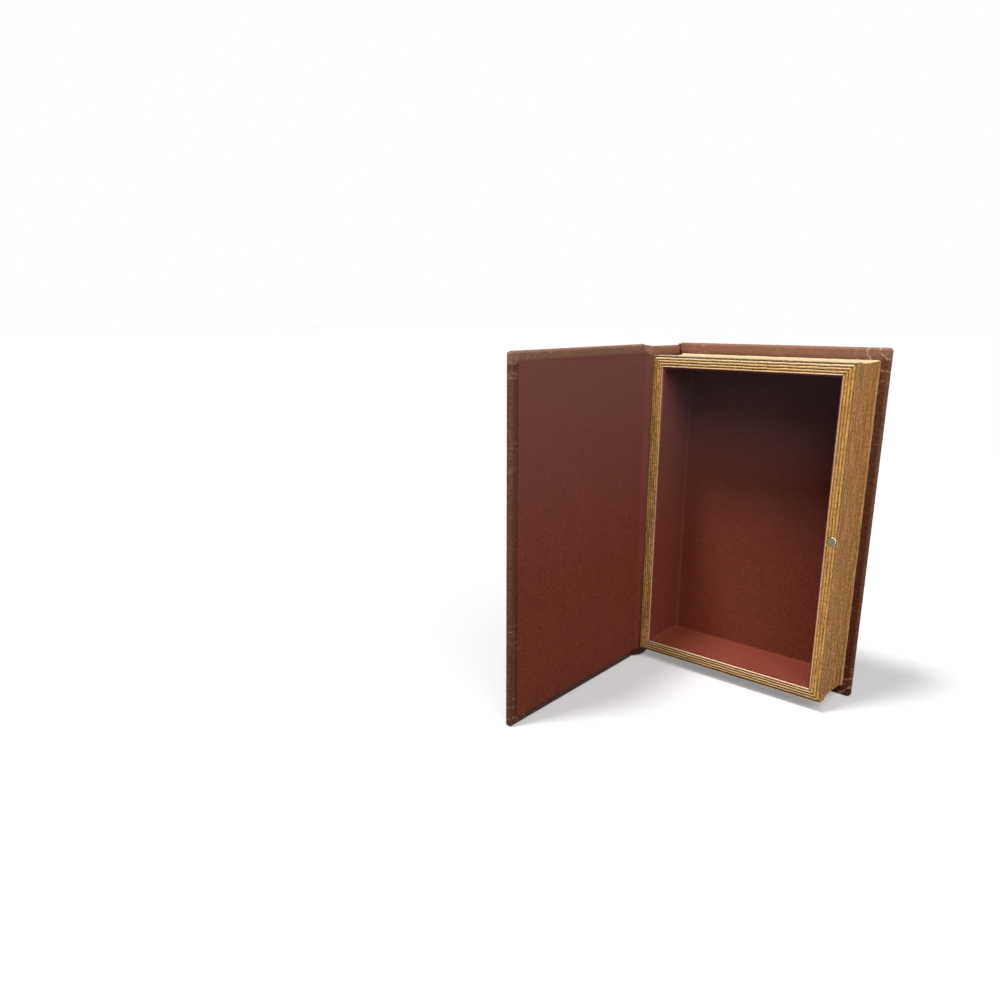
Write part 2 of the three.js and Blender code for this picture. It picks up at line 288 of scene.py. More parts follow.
def block(name, low, high):
    """A box between two corners, as the blank for a piece."""
    low, high = Vector(low), Vector(high)
    bpy.ops.object.select_all(action="DESELECT")
    bpy.ops.mesh.primitive_cube_add(size=1, location=(low + high) / 2)
    piece = named(bpy.context.object, name)
    piece.scale = high - low
    apply_transform()
    return piece


def disc(radius, depth, middle):
    """A round blank with its axis along y."""
    bpy.ops.object.select_all(action="DESELECT")
    bpy.ops.mesh.primitive_cylinder_add(
        vertices=64, radius=radius, depth=depth, location=middle, rotation=(QUARTER, 0, 0))
    return bpy.context.object


@contextmanager
def editing(piece):
    """Edit mode on one piece, with nothing selected at the start."""
    only(piece)
    bpy.ops.object.mode_set(mode="EDIT")
    bpy.ops.mesh.select_all(action="DESELECT")
    yield
    bpy.ops.object.mode_set(mode="OBJECT")


def pick(piece, kind, test):
    """Select the vertices, edges or faces that pass a test. An edge's test gets its middle and direction,
    a face's its middle and normal, a vertex's its place."""
    bpy.ops.mesh.select_mode(type=kind)
    bpy.ops.mesh.select_all(action="DESELECT")
    mesh = bmesh.from_edit_mesh(piece.data)
    if kind == "VERT":
        chosen = [vertex for vertex in mesh.verts if test(vertex.co)]
    elif kind == "EDGE":
        ends = [(edge, edge.verts[0].co, edge.verts[1].co) for edge in mesh.edges]
        chosen = [edge for edge, a, b in ends if test((a + b) / 2, (b - a).normalized())]
    else:
        mesh.normal_update()
        chosen = [face for face in mesh.faces if test(face.calc_center_median(), face.normal)]
    for part in chosen:
        part.select_set(True)
    mesh.select_flush_mode()
    bmesh.update_edit_mesh(piece.data)


def cut(place, normal, **ends):
    """Score the whole piece in edit mode along a plane."""
    bpy.ops.mesh.select_mode(type="FACE")
    bpy.ops.mesh.select_all(action="SELECT")
    bpy.ops.mesh.bisect(plane_co=place, plane_no=normal, **ends)


def saw(place, normal):
    """Cut off what lies on the normal's side of a plane and close the cut."""
    cut(place, normal, use_fill=True, clear_outer=True)


def round_edges(radius, segments=3):
    bpy.ops.mesh.bevel(offset=radius, segments=segments, affect="EDGES", clamp_overlap=True)


def shift(offset):
    bpy.ops.transform.translate(value=offset)


def extrude(offset):
    bpy.ops.mesh.extrude_region()
    shift(offset)


def put(piece, matrix):
    """Move a piece and keep its new place in its mesh."""
    only(piece)
    piece.matrix_world = matrix
    apply_transform()
    return piece


def smooth(piece, weighted=True):
    """Round the shading over soft edges and, if weighted, keep large faces flat."""
    only(piece)
    bpy.ops.object.shade_smooth_by_angle(angle=SHARP)
    if weighted:
        modifier = piece.modifiers.new("Face weights", "WEIGHTED_NORMAL")
        modifier.keep_sharp = True
        bpy.ops.object.modifier_apply(modifier=modifier.name)
    return piece


def copy_of(piece, name):
    """A copy with a mesh of its own."""
    twin = piece.copy()
    twin.data = piece.data.copy()
    bpy.context.collection.objects.link(twin)
    return named(twin, name)


def mark(piece, name, value_at):
    """Write a value at each point of a mesh, worked out from the point's place."""
    attributes = piece.data.attributes
    layer = attributes.get(name) or attributes.new(name, "FLOAT", "POINT")
    for vertex in piece.data.vertices:
        layer.data[vertex.index].value = value_at(vertex.co)


def dress(piece, slot, body, *nodes):
    """Give a finished piece its material and slot, let it ride on a body, if it is rigid, and let it stand
    for its solids."""
    piece.data.materials.clear()
    piece.data.materials.append(finish_named(slot))
    if body:
        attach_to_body(piece, body)
    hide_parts(*nodes)


# Nodes. Apart from add, each of these adds one kind of node and gives its output.

def add(tree, kind, inputs=None, **settings):
    """Add a node, set it, and fill its inputs with values or with other nodes' outputs."""
    made = tree.nodes.new(kind)
    for key, value in settings.items():
        setattr(made, key, value)
    for key, value in (inputs or {}).items():
        if isinstance(value, bpy.types.NodeSocket):
            tree.links.new(value, made.inputs[key])
        else:
            made.inputs[key].default_value = value
    return made


def per(millimetres):
    """A pattern's scale from its real size."""
    return 1 / (millimetres * MM)


def solid(rgb):
    """A colour with its alpha, unless it is another node's output."""
    return rgb if isinstance(rgb, bpy.types.NodeSocket) else (*rgb, 1)


def place_in(tree, kind="Object"):
    return add(tree, "ShaderNodeTexCoord").outputs[kind]


def split(tree, place):
    return add(tree, "ShaderNodeSeparateXYZ", {0: place}).outputs


def marked(tree, name):
    return add(tree, "ShaderNodeAttribute", attribute_name=name).outputs["Fac"]


def stretch(tree, place, scale, turn=(0, 0, 0)):
    return add(tree, "ShaderNodeMapping", {"Vector": place, "Rotation": turn, "Scale": scale}).outputs[0]


def noise(tree, place, size, detail=2, roughness=0.5, distortion=0):
    values = {"Vector": place, "Scale": per(size), "Detail": detail, "Roughness": roughness,
              "Distortion": distortion}
    return add(tree, "ShaderNodeTexNoise", values).outputs[0]


def ramp(tree, value, start=0, end=1, low=0, high=1, kind="LINEAR"):
    """Low up to the start, high from the end on, and even or S-shaped between them."""
    values = {"Value": value, "From Min": start, "From Max": end, "To Min": low, "To Max": high}
    return add(tree, "ShaderNodeMapRange", values, interpolation_type=kind).outputs[0]


def s_ramp(tree, value, start, end, low=0, high=1):
    return ramp(tree, value, start, end, low, high, "SMOOTHSTEP")


def reckon(tree, operation, *values, **settings):
    return add(tree, "ShaderNodeMath", dict(enumerate(values)), operation=operation, **settings).outputs[0]


def times(tree, product, *factors):
    for factor in factors:
        product = reckon(tree, "MULTIPLY", product, factor)
    return product


def highest(tree, most, *others):
    for other in others:
        most = reckon(tree, "MAXIMUM", most, other)
    return most


def between(tree, share, first, second):
    return add(tree, "ShaderNodeMix", {0: share, 2: first, 3: second}).outputs[0]


def mixed(tree, share, first, second):
    values = {0: share, 6: solid(first), 7: solid(second)}
    return add(tree, "ShaderNodeMix", values, data_type="RGBA").outputs[2]


def tint(tree, rgb, factor):
    return add(tree, "ShaderNodeVectorMath", {0: rgb, 1: factor}, operation="MULTIPLY").outputs[0]


def bump(tree, height, strength, distance, invert=False, **below):
    values = {"Height": height, "Strength": strength, "Distance": distance, **below}
    return add(tree, "ShaderNodeBump", values, invert=invert).outputs[0]


def blank_material(name):
    """A new material with an empty tree."""
    material = bpy.data.materials.new(name)
    material.use_nodes = True
    material.node_tree.nodes.clear()
    return material, material.node_tree


def close(tree, inputs):
    """Join a Principled shader with these inputs to the tree's output."""
    shader = add(tree, "ShaderNodeBsdfPrincipled", inputs)
    add(tree, "ShaderNodeOutputMaterial", {"Surface": shader.outputs[0]})


# Materials

def leather_cloth(name, colours):
    """Brown bonded leather cloth, rolled with a fine pebble grain and glued over board. The grain breaks up
    the gloss, handling rubs the folds over the boards' edges lighter in short ticks, and the cloth
    wrinkles in arcs where it is drawn round a corner. The crests of its creases and wrinkles, the margin
    at the head and the laps of the seams are lightened as painted highlight, and toward the tail it is
    darkened as painted shade."""
    material, tree = blank_material(name)
    place = place_in(tree)
    pebbles = {"Vector": place, "Scale": per(0.9)}
    grain = add(tree, "ShaderNodeTexVoronoi", pebbles, feature="SMOOTH_F1").outputs[0]
    tone = noise(tree, place, 26, detail=6)
    mottle = noise(tree, place, 1.6, detail=4, roughness=0.6)
    # Distances from the fore-edge, from the nearer end of the book and from the nearest corner
    inset = marked(tree, "inset")
    height = split(tree, place)[2]
    below_head = reckon(tree, "SUBTRACT", COVER_SIZE.z, height)
    from_end = reckon(tree, "MINIMUM", height, below_head)
    nearest = reckon(tree, "MINIMUM", inset, from_end)
    corner = add(tree, "ShaderNodeCombineXYZ", {0: inset, 1: from_end}).outputs[0]
    from_corner = add(tree, "ShaderNodeVectorMath", {0: corner}, operation="LENGTH").outputs["Value"]
    # Ticks across the fold: 0.8 mm apart up the edge and some 4 mm long over it
    rim = s_ramp(tree, nearest, 0.3 * MM, 2.2 * MM, low=1, high=0)
    tick = noise(tree, stretch(tree, place, (0.2, 0.2, 1)), 0.8)
    rim_wear = times(tree, rim, ramp(tree, tick, 0.42, 0.72, high=0.24))
    # Creases run level, across the book's height: 1.6 mm apart and some 10 mm long. Their crests are
    # lightened as painted highlight
    crease = noise(tree, stretch(tree, place, (0.16, 0.16, 1)), 1.6, detail=3, distortion=0.6)
    fold = s_ramp(tree, crease, 0.58, 0.7)
    patch = s_ramp(tree, tone, 0.46, 0.6)
    margin = ramp(tree, nearest, 5 * MM, 12 * MM, low=0.7, high=0.12)
    edge_crease = times(tree, fold, patch, margin)
    # Arcs round the corner, 8 mm apart, up to 27 mm from it. They are lightened as painted highlight
    waver = noise(tree, place, 9, detail=3)
    wandering = reckon(tree, "MULTIPLY_ADD", waver, 9 * MM, from_corner)
    ring = reckon(tree, "PINGPONG", wandering, 4 * MM)
    arc = s_ramp(tree, ring, 2.9 * MM, 3.7 * MM)
    in_corner = ramp(tree, from_corner, 16 * MM, 27 * MM, low=1, high=0)
    smoothed = ramp(tree, marked(tree, "pressed"), low=1, high=0.2)
    broken = ramp(tree, mottle, 0.4, 0.52)
    wrinkles = times(tree, arc, in_corner, smoothed, broken)
    lifted = highest(tree, edge_crease, wrinkles, rim_wear)
    # Painted highlight: the margin at the head is lightened, and the seams' laps are lightened most toward
    # the head
    head_highlight = ramp(tree, below_head, 5 * MM, 9 * MM, low=0.3, high=0)
    paler = reckon(tree, "ADD", times(tree, lifted, 0.6), head_highlight)
    seam = times(tree, marked(tree, "seam"), ramp(tree, height, 0, 220 * MM, low=0.15))
    worn_and_lit = highest(tree, paler, seam)
    # Painted shade: toward the tail the deep tone takes a larger share
    tail_shade_ramp = ramp(tree, height, 0, 150 * MM, low=0.35)
    tone_share = times(tree, ramp(tree, mottle, 0.35, 0.65), tail_shade_ramp)
    base = mixed(tree, tone_share, colours.leather_deep, colours.leather)
    # Painted shade: toward the tail the leather is darkened, its margin most of all
    tail_shading = ramp(tree, height, 0, 200 * MM, low=1, high=0)
    tail_shaded = tint(tree, base, mixed(tree, tail_shading, WHITE, colours.leather_tail_shade))
    margin_shaded = tint(tree, tail_shaded, ramp(tree, height, 5 * MM, 9 * MM, low=0.6))
    pebble = bump(tree, grain, 0.35, 0.12 * MM, invert=True)
    close(tree, {
        "Base Color": mixed(tree, worn_and_lit, margin_shaded, colours.leather_worn_and_lit),
        "Roughness": ramp(tree, mottle, 0.3, 0.7, low=0.4, high=0.58),
        "Normal": bump(tree, lifted, 0.6, 0.3 * MM, Normal=pebble),
        "Specular IOR Level": 0.18,
    })
    return material


def flocked_paper(name, colours):
    """Burgundy flocked paper: short rayon pile on paper. It is matt, a little brighter at a glancing
    angle, finely speckled, and mottled where the pile lies in different directions. Toward the head it is
    lightened as painted sheen, and deep in the tray under the head it is greyed as painted shade."""
    material, tree = blank_material(name)
    place = place_in(tree)
    _, back, height = split(tree, place)
    brushed = noise(tree, place, 14, detail=4, roughness=0.6)
    tuft = noise(tree, place, 1.4, detail=4, roughness=0.75)
    lie = ramp(tree, brushed, 0.3, 0.7, low=0.75)
    speck = ramp(tree, tuft, 0.38, 0.62)
    # The tray's lining was brushed down, so its specks are weaker
    quiet = ramp(tree, back, BOX_LOW.y + 2 * MM, BOX_LOW.y + 8 * MM, high=0.45)
    share = times(tree, lie, between(tree, quiet, speck, 0.5))
    base = mixed(tree, share, colours.flock_deep, colours.flock)
    # Painted sheen: toward the head the pile is lightened to a paler tone
    head_sheen = ramp(tree, height, 90 * MM, 240 * MM, high=0.7)
    with_painted_light = mixed(tree, head_sheen, base, colours.flock_sheen)
    # Painted shade: deep in the tray, under the head, the pile is greyed toward a dark neutral
    inside = ramp(tree, back, BOX_LOW.y + 5 * MM, BOX_LOW.y + 36 * MM)
    under_head = ramp(tree, height, 150 * MM, 225 * MM, high=0.5)
    close(tree, {
        "Base Color": mixed(tree, times(tree, inside, under_head), with_painted_light, colours.flock_shade_grey),
        "Normal": bump(tree, tuft, 0.35, 0.2 * MM),
        "Roughness": 0.92,
        "Specular IOR Level": 0.15,
        "Sheen Weight": 0.12,
        "Sheen Roughness": 0.5,
        "Sheen Tint": solid(colours.flock_sheen),
    })
    return material


def glazed_gilding(name, colours):
    """Gilded wood moulding under a brown glaze. The gilding is worn bright on the ridges, the glaze
    stays in the grooves, and both run in fine streaks along the moulding like the edges of pages. The
    head and tail mouldings, the rear lip and the outer edge are lightened as painted highlight, the
    tail's ridges are kept lighter as painted light, and the head's and tail's grooves and the spine's
    moulding are darkened as painted shade."""
    material, tree = blank_material(name)
    run = add(tree, "ShaderNodeUVMap", uv_map="section").outputs[0]
    height = split(tree, place_in(tree))[2]
    glaze, rubbed_and_lit, page = (marked(tree, each) for each in ("glaze", "rubbed_and_lit", "page"))
    with_painted_light, spine_painted_shade, tail_light_and_shade = (marked(tree, each) for each in ("with_painted_light", "spine_painted_shade", "tail_light_and_shade"))
    # On the face the streaks are 0.7 mm wide and some 15 times as long. On the page edges they are 1.2 mm
    # wide and ten times as long. Specks of 1 mm break both.
    leaf = noise(tree, stretch(tree, run, (0.065, 1, 1)), 1.5, detail=6, roughness=0.8)
    pages = noise(tree, stretch(tree, run, (0.1, 1, 1)), 2.4, detail=6, roughness=0.85)
    speckle = noise(tree, run, 2, detail=5, roughness=0.8)
    either = between(tree, page, leaf, pages)
    streak = s_ramp(tree, either, 0.4, 0.56)
    unlit = reckon(tree, "SUBTRACT", 1, times(tree, streak, ramp(tree, speckle, 0.42, 0.54)))
    gold = mixed(tree, page, colours.gilt, colours.gilt_page)
    bright = mixed(tree, rubbed_and_lit, gold, colours.gilt_rubbed_and_lit)
    # Painted highlight: the head and tail mouldings are paled, the head's top most of all
    upward = ramp(tree, height, BOX_HIGH.z - 3 * MM, BOX_HIGH.z - 1.6 * MM, low=0.32, high=0.85)
    top_highlight = times(tree, upward, with_painted_light)
    pale = mixed(tree, top_highlight, bright, colours.gilt_highlight)
    # The streaks are faint where the gilding is worn bright or carries the painted highlight, and heavier
    # toward the
    #  tail and on the page edges. The spine's moulding takes heavier streaks as painted shade, and the tail's
    #  lighter ones as painted light.
    kept = ramp(tree, highest(tree, rubbed_and_lit, top_highlight), low=1, high=0.35)
    heavy = ramp(tree, height, 0, 250 * MM, low=0.72, high=0.62)
    heavier = reckon(tree, "MULTIPLY_ADD", spine_painted_shade, 0.16, heavy)
    streak_weight = reckon(tree, "MULTIPLY_ADD", tail_light_and_shade, -0.55, heavier)
    stain = times(tree, unlit, streak_weight, ramp(tree, page, low=1, high=1.2), kept)
    # The glaze fills the grooves and chips lighten it; the grooves of the tail most, then of the head, are
    # darkened further as painted shade
    brim = ramp(tree, with_painted_light, low=1.15, high=0.6)
    filled = ramp(tree, glaze, 0, reckon(tree, "MULTIPLY_ADD", tail_light_and_shade, -0.3, brim))
    chipped = ramp(tree, speckle, 0.42, 0.58, low=0.95, high=0.45)
    dark = reckon(tree, "MULTIPLY_ADD", tail_light_and_shade, 0.3, chipped, use_clamp=True)
    glaze_and_shade = highest(tree, stain, times(tree, filled, dark))
    metal = ramp(tree, glaze_and_shade, low=0.3, high=0.05)
    lines = bump(tree, either, 0.7, 0.5 * MM)
    # The face is varnished, the page edges are not
    close(tree, {
        "Base Color": mixed(tree, glaze_and_shade, pale, colours.glaze),
        "Metallic": times(tree, metal, ramp(tree, page, low=1, high=0.2)),
        "Roughness": ramp(tree, speckle, 0.3, 0.7, low=0.38, high=0.6),
        "Normal": bump(tree, speckle, 0.45, 0.3 * MM, Normal=lines),
        "Specular IOR Level": ramp(tree, page, low=0.45, high=0.06),
    })
    return material


def nickel_plate(name, colours):
    """Nickel plating on a pressed magnet: bright, with fine handling scratches that dull it unevenly. Its
    base colour is darkened as a painted reflection of dim surroundings, and its rim is lightened as a
    painted highlight.
    """
    material, tree = blank_material(name)
    turned = stretch(tree, place_in(tree), (1, 1, 0.08), turn=(0, math.radians(35), 0))
    scratch = noise(tree, turned, 0.25, detail=3)
    close(tree, {
        "Base Color": mixed(tree, marked(tree, "rim"), colours.nickel, colours.nickel_rim_highlight),
        "Roughness": ramp(tree, scratch, 0.35, 0.65, low=0.12, high=0.24),
        "Metallic": 1,
    })
    return material


def pulp_board(name, colours, kind, fibre):
    """Board or card pressed from paper pulp: dead matt, with short fibres lying every way."""
    material, tree = blank_material(name)
    pulp = noise(tree, place_in(tree), fibre, detail=5, distortion=1.2)
    close(tree, {
        "Base Color": tint(tree, getattr(colours, kind), ramp(tree, pulp, 0.3, 0.7, low=0.82, high=1.06)),
        "Normal": bump(tree, pulp, 0.3, 0.1 * MM),
        "Roughness": 0.9,
    })
    return material


def seen_or_mirrored(tree):
    """1 for what the camera sees, straight or in a reflection or through glass, and 0 for other light."""
    path = add(tree, "ShaderNodeLightPath").outputs
    return highest(tree, path["Is Camera Ray"], path["Is Glossy Ray"], path["Is Transmission Ray"])


def pale_floor(name, colours):
    """Painted studio floor. The camera and reflections see it white, with its shadow kept, and it throws
    only a little light back at the book."""
    material, tree = blank_material(name)
    seen = seen_or_mirrored(tree)
    roller = noise(tree, place_in(tree), 3)
    close(tree, {
        "Base Color": mixed(tree, seen, colours.floor_bounce, colours.floor),
        "Roughness": ramp(tree, roller, low=0.8, high=0.9),
        "Emission Color": solid(WHITE),
        "Emission Strength": times(tree, seen, bpy.context.scene.book_stage.floor_lift),
        "Specular IOR Level": 0,
    })
    return material


# The finish of each slot: its name, its maker, and what else the maker needs
FINISHES = {
    "leather": ("Bonded leather cloth, brown", leather_cloth),
    "flock": ("Flocked paper, burgundy", flocked_paper),
    "gilt_wood": ("Gilded moulding, brown glaze", glazed_gilding),
    "nickel": ("Nickel plate, handled", nickel_plate),
    "greyboard": ("Greyboard, raw", pulp_board, "greyboard", 1.2),
    "card": ("Manila card, plain", pulp_board, "card", 0.8),
    "floor": ("Studio floor, matt white paint", pale_floor),
}


def finish_named(slot):
    """The material of a slot, made when it is first asked for."""
    name, maker, *needs = FINISHES[slot]
    return bpy.data.materials.get(name) or maker(name, bpy.context.scene.book_colours, *needs)


# The gilt mouldings

def page_profile(sizes):
    """Depth from the front and recess of each line on the moulding's outer side."""
    start = sizes.front_band + sizes.ramp
    lip = BOX_DEPTH - sizes.rear_band
    end = lip - sizes.ramp / 2
    steps = 10
    lines = [(sizes.front_band, 0), (lip, sizes.rear_recess), (BOX_DEPTH, sizes.rear_recess)]
    for step in range(steps + 1):
        share = step / steps
        lines.append((start + share * (end - start), sizes.recess + sizes.hollow * math.sin(math.pi * share)))
    return lines


def wander(rail, half, centres, sizes):
    """Let each groove and the rear lip stray a little from their lines, as hand-scraped ones do. The
    outermost grooves stray only inwards, clear of the rounded edges."""
    steps = round(2 * half / sizes.wander_pitch)
    places = [half * (2 * step / steps - 1) for step in range(1, steps)]
    gap = sizes.groove_pitch / 2

    def stray(place, line):
        ends = min(1, max(0, (half - FACE_WIDTH - abs(place)) / sizes.wander_ends))
        wave = math.sin(place / sizes.long_wave + 2 * line) + math.sin(place / sizes.short_wave + 5 * line)
        return sizes.wander * ends * wave / 2

    with editing(rail):
        for place in places:
            cut((place, 0, 0), X)
        for place in places:
            for line, centre in enumerate(centres):
                pick(rail, "VERT", lambda co: abs(co.x - place) < TINY and abs(co.z + centre) < gap
                     and co.y < sizes.front_band and sizes.nose < -co.z < FACE_WIDTH - sizes.lip)
                aside = stray(place, line)
                if line == 0:
                    aside = -abs(aside)
                elif line == len(centres) - 1:
                    aside = abs(aside)
                shift((0, 0, aside))
            pick(rail, "VERT", lambda co: abs(co.x - place) < TINY
                 and co.y > BOX_DEPTH - sizes.rear_band - TINY and co.z > -2 * sizes.rear_recess - TINY)
            shift((0, 0, -abs(stray(place, len(centres)))))


def mark_section(rail, run, centres, sizes):
    """Unroll the section into a UV map, and mark the grooves, the edges to lighten and the page edges. The
    inner ridge is worn bright; the rear lip and the outer edge are lightened as painted highlight.
    """
    def behind_face(co):
        return co.y - sizes.crown * (1 + co.z / FACE_WIDTH) ** 2

    def glaze(co):
        if run / 2 + co.z - sizes.mitre_gap - abs(co.x) < TINY:
            return 1
        sunk = behind_face(co) / sizes.groove_depth
        beside = min(abs(co.z + centre) for centre in centres)
        in_groove = beside < sizes.groove_width / 2 + sizes.ridge_round and sunk < 1.1
        return max(0, min(1, 1.3 * sunk)) if in_groove else 0

    def rubbed_and_lit(co):
        if co.z < -centres[-1] - sizes.groove_width / 2 and co.y < sizes.lip:
            return 1
        # Painted highlight: the rear lip and the outer edge are lightened
        rear_lip = co.y > BOX_DEPTH - sizes.rear_band - TINY and co.z > -TINY - sizes.rear_recess
        outer_edge = co.z > -sizes.nose - TINY and behind_face(co) < sizes.nose + TINY
        return 0.55 * (rear_lip or outer_edge)

    def page(co):
        on_side = co.z > -centres[0] or co.y > sizes.front_band - TINY
        return min(1, max(0, behind_face(co) / sizes.nose - 0.5)) if on_side else 0

    mark(rail, "glaze", glaze)
    mark(rail, "rubbed_and_lit", rubbed_and_lit)
    mark(rail, "page", page)
    section = rail.data.uv_layers.new(name="section")
    for loop in rail.data.loops:
        x, y, z = rail.data.vertices[loop.vertex_index].co
        section.data[loop.index].uv = (x, -z - y)


def carve_rail(name, run, sizes):
    """A straight moulding with its ends cut to mitres. It runs along x, centred on the origin. Its outer
    side is at z 0 and its front at y 0."""
    half = run / 2
    centres = [sizes.first_groove + groove * sizes.groove_pitch for groove in range(4)]
    shoulders = [centre + side * sizes.groove_width / 2 for centre in centres for side in (-1, 1)]
    profile = page_profile(sizes)
    rail = block(name, (-half, 0, -FACE_WIDTH), (half, BOX_DEPTH, 0))

    def round_along(test, radius, segments):
        pick(rail, "EDGE", lambda mid, way: abs(way.x) > ALONG and test(mid))
        round_edges(radius, segments)

    with editing(rail):
        for centre in centres:
            for offset in (-sizes.groove_width / 2, 0, sizes.groove_width / 2):
                cut((0, 0, -centre - offset), Z)
        for back, recess in profile:
            if back < BOX_DEPTH - TINY:
                cut((0, back, 0), Y)
        for centre in centres:
            pick(rail, "VERT", lambda co: abs(co.z + centre) < TINY and co.y < TINY)
            shift((0, sizes.groove_depth, 0))
        for back, recess in profile:
            if recess > 0:
                pick(rail, "VERT", lambda co: abs(co.y - back) < TINY and co.z > -TINY)
                shift((0, 0, -recess))
        round_along(lambda mid: mid.y < TINY and any(abs(mid.z + place) < TINY for place in shoulders),
                    sizes.ridge_round, 3)
        round_along(lambda mid: mid.y < TINY and abs(mid.z) < TINY, sizes.nose, 6)
        round_along(lambda mid: mid.y < TINY and mid.z < TINY - FACE_WIDTH, sizes.lip, 4)
        round_along(lambda mid: abs(mid.y - sizes.front_band) < TINY and abs(mid.z) < TINY, sizes.lip, 3)
        levels = sorted({round(vertex.co.z, 7) for vertex in bmesh.from_edit_mesh(rail.data).verts})
        for level in levels:
            pick(rail, "VERT", lambda co: abs(co.z - level) < TINY and co.y < sizes.front_band - TINY)
            shift((0, sizes.crown * (1 + level / FACE_WIDTH) ** 2, 0))
        stained = half - sizes.mitre_gap - sizes.mitre_stain
        for end in (1, -1):
            cut((end * stained, 0, 0), (end, 0, -1))
        for end in (1, -1):
            saw((end * (half - sizes.mitre_gap), 0, 0), (end, 0, -1))
    mark_section(rail, run, centres, sizes)
    wander(rail, half, centres, sizes)
    return smooth(rail)


def bore_pocket(rail, sizes):
    """The magnet's pocket, bored into the fore-edge moulding."""
    low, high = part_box("catch_magnet")
    middle = (low + high) / 2
    bit = disc((high.x - low.x) / 2 + sizes.pocket_gap, 2 * (high.y - BOX_LOW.y),
               (middle.x, BOX_LOW.y, middle.z))
    only(rail)
    modifier = rail.modifiers.new("Pocket", "BOOLEAN")
    modifier.object = bit
    modifier.operation = "DIFFERENCE"
    modifier.solver = "EXACT"
    bpy.ops.object.modifier_apply(modifier=modifier.name)
    bpy.data.objects.remove(bit)


class BOOK_OT_mouldings(bpy.types.Operator):
    """Carve the four gilt mouldings of the tray and bore the magnet's pocket"""
    bl_idname = "book.mouldings"
    bl_label = "Gilt mouldings"

    def execute(self, context):
        sizes = context.scene.book_mouldings
        middle = (BOX_LOW + BOX_HIGH) / 2
        head = carve_rail("gilt_head_rail", BOX_HIGH.x - BOX_LOW.x, sizes)
        side = carve_rail("gilt_fore_edge_rail", BOX_HIGH.z - BOX_LOW.z, sizes)
        tail = copy_of(head, "gilt_tail_rail")
        spine = copy_of(side, "gilt_spine_rail")
        # Each is turned about the y axis in quarter turns from the head
        for rail, turns, x, z in ((head, 0, middle.x, BOX_HIGH.z), (tail, 2, middle.x, BOX_LOW.z),
                                  (side, 1, BOX_HIGH.x, middle.z), (spine, -1, BOX_LOW.x, middle.z)):
            put(rail, Matrix.Translation((x, BOX_LOW.y, z)) @ Matrix.Rotation(turns * QUARTER, 4, "Y"))
        bore_pocket(side, context.scene.book_tray)
        # The head and tail take painted highlight and groove shade, the tail's ridges painted light, the
        # spine painted shade
        for rail, state in ((head, "with_painted_light"), (tail, "with_painted_light"), (tail, "tail_light_and_shade"), (spine, "spine_painted_shade")):
            mark(rail, state, lambda co: 1)
        dress(head, "gilt_wood", "case", "head_moulding")
        dress(tail, "gilt_wood", "case", "tail_moulding")
        dress(side, "gilt_wood", "case", "fore_edge_moulding")
        dress(spine, "gilt_wood", "case", "spine_moulding")
        return {"FINISHED"}


# The wrapped boards

def mitre_seam(piece, up, sizes):
    """Press the seam between two turn-ins into a cover's inner face, from its outer corner inwards."""
    level = COVER_SIZE.z - sizes.turn_in if up > 0 else sizes.turn_in
    corner = Vector((COVER_SIZE.x - sizes.turn_in, 0, level))
    across = Vector((1, 0, -up)).normalized()
    half = sizes.seam_width / 2

    def in_corner(place):
        return place.x > corner.x - TINY and (place.z - corner.z) * up > -TINY

    def shift_line(offset, rise):
        pick(piece, "VERT", lambda co: co.y < COVER_SIZE.y / 2 and in_corner(co)
             and (co - corner).length > 2 * sizes.seam_width
             and abs((co - corner) @ across - offset) < TINY)
        shift((0, rise, 0))

    for offset in (-half, 0, half, 2 * half):
        pick(piece, "FACE", lambda mid, normal: in_corner(mid) and normal.y < -SQUARE)
        bpy.ops.mesh.bisect(plane_co=corner + offset * across, plane_no=across)
    shift_line(0, sizes.seam_depth)
    shift_line(half, -sizes.seam_lap)


def mark_leather(piece, sizes, seamed=False):
    """Note each point's distance from the fore-edge and how far the corner's wrinkles are pressed flat
    there, and mark the raised lap of the mitre seams, at a distance from the corners' diagonals, which
    takes a painted highlight."""
    def seam(co):
        inset = COVER_SIZE.x - co.x
        from_end = min(co.z, COVER_SIZE.z - co.z)
        near = co.y < COVER_SIZE.y / 2 and max(inset, from_end) < sizes.seam_run
        return seamed and near and abs((from_end - inset) / math.sqrt(2) - sizes.seam_width / 2) < TINY

    mark(piece, "inset", lambda co: COVER_SIZE.x - co.x)
    mark(piece, "pressed", lambda co: co.y > COVER_SIZE.y - TINY)
    mark(piece, "seam", seam)


def hollow_wrap(piece, size, turn_in, end_turn_in, skin):
    """Score the window between the turn-ins, push it in by the leather's thickness, widen it under the
    turn-ins and sink it to the far skin, which leaves the hollow for the board."""
    for place in (turn_in, size.x - turn_in):
        cut((place, 0, 0), X)
    for place in (end_turn_in, size.z - end_turn_in):
        cut((0, 0, place), Z)
    pick(piece, "FACE", lambda mid, normal: normal.y < -ALONG and mid.y < TINY
         and turn_in < mid.x < size.x - turn_in and end_turn_in < mid.z < size.z - end_turn_in)
    extrude((0, skin, 0))
    bpy.ops.mesh.extrude_region()
    widen = (size.x - 2 * skin) / (size.x - 2 * turn_in)
    heighten = (size.z - 2 * skin) / (size.z - 2 * end_turn_in)
    bpy.ops.transform.resize(value=(widen, 1, heighten), center_override=(size.x / 2, skin, size.z / 2))
    extrude((0, size.y - 2 * skin, 0))


